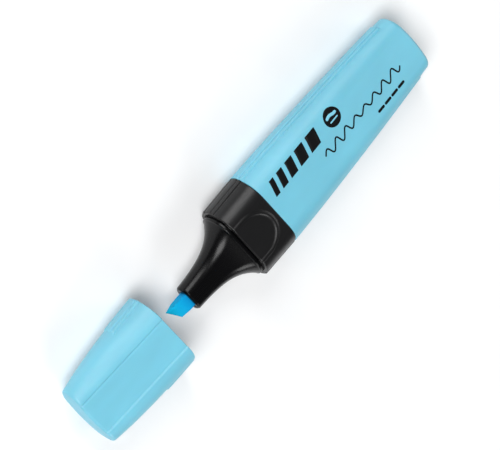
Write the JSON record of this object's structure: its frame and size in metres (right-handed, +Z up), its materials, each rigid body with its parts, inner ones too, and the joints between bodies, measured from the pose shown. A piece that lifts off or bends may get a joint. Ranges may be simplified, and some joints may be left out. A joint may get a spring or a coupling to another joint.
{
  "type": "capped highlighter",
  "caption": "Flat-oval highlighter with a tapered pull-off cap, black grip collar, flared neck and slanted chisel felt nib.",
  "frame": {"origin": "bottom centre of the whole object as stored, with the cap pulled off in line ahead of the nib", "axes": "+X along the pen from the nib to the rear end, +Y across the broad faces, +Z up out of the upper broad face"},
  "size_m": [0.15, 0.0272, 0.0167],
  "materials": {
    "pastel_body": "satin moulded, pastel blue",
    "pastel_cap": "satin moulded, pastel blue",
    "collar_black": "satin black",
    "neck_black": "glossy black",
    "nib_felt": "ink-soaked porous felt, bright blue",
    "reservoir_fibre": "ink-soaked fibre",
    "wrap_film": "thin clear film",
    "liner_plastic": "natural moulded plastic",
    "print_ink": "black screen print"
  },
  "bodies": {
    "pen": {"barrel": "pastel_body", "grip_collar": "collar_black", "nib_holder": "neck_black", "nib": "nib_felt", "ink_reservoir": "reservoir_fibre", "reservoir_wrap": "wrap_film"},
    "cap": {"cap_shell": "pastel_cap", "cap_liner": "liner_plastic"}
  },
  "joints": [
    {"name": "cap_slide", "type": "slide", "parent": "pen", "child": "cap", "axis": [1, 0, 0], "range_m": [0, 0.0333]}
  ]
}
